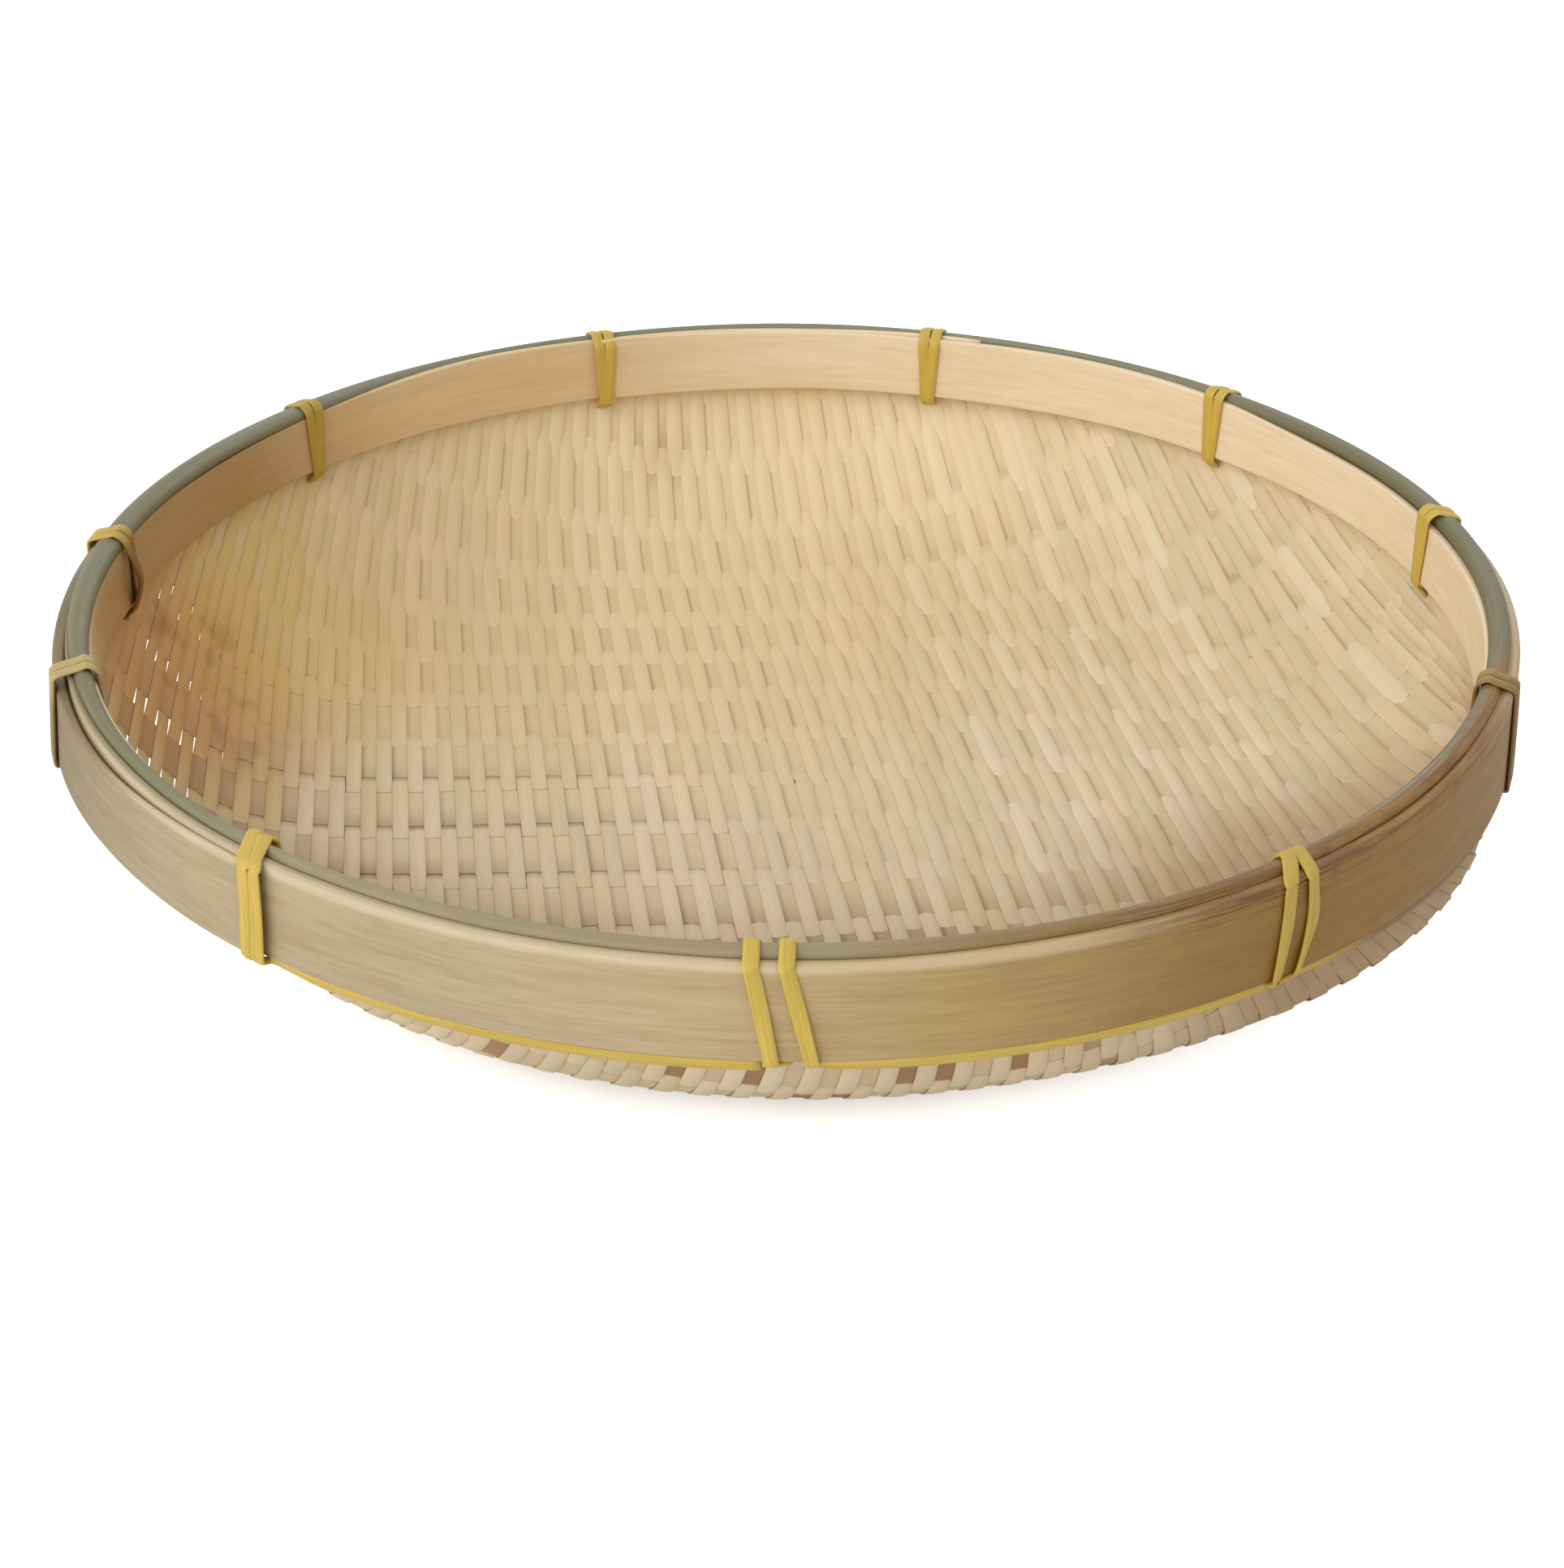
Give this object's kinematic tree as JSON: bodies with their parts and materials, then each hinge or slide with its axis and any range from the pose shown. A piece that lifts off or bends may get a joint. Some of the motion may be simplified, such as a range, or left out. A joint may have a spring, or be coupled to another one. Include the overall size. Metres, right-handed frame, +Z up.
{
  "type": "bread basket",
  "caption": "Shallow round bread basket of woven bamboo splints, clamped between two bent bamboo hoops with a skin strip on top and bound with yellow strip lashings.",
  "frame": {"origin": "on the surface the basket stands on, under the middle of the bowl", "axes": "+Z up, -Y towards the picture's camera, +X to its right"},
  "size_m": [0.1308, 0.1307, 0.0242],
  "materials": {
    "woven_splint": "raw bamboo splints, matt to satin",
    "outer_bamboo": "planed bamboo with a faint sheen",
    "inner_bamboo": "planed bamboo, matt",
    "green_skin": "grey-green bamboo skin with a sheen",
    "yellow_strip": "yellow binding strip with a sheen"
  },
  "bodies": {
    "root": {"outer_hoop": "outer_bamboo", "inner_hoop": "inner_bamboo", "rim_cap_strip": "green_skin", "woven_mat": "woven_splint", "lashing_01": "yellow_strip", "lashing_02": "yellow_strip", "lashing_03": "yellow_strip", "lashing_04": "yellow_strip", "lashing_05": "yellow_strip", "lashing_06": "yellow_strip", "lashing_07": "yellow_strip", "lashing_08": "yellow_strip", "lashing_09": "yellow_strip", "lashing_10": "yellow_strip", "lashing_11": "yellow_strip"}
  },
  "joints": []
}
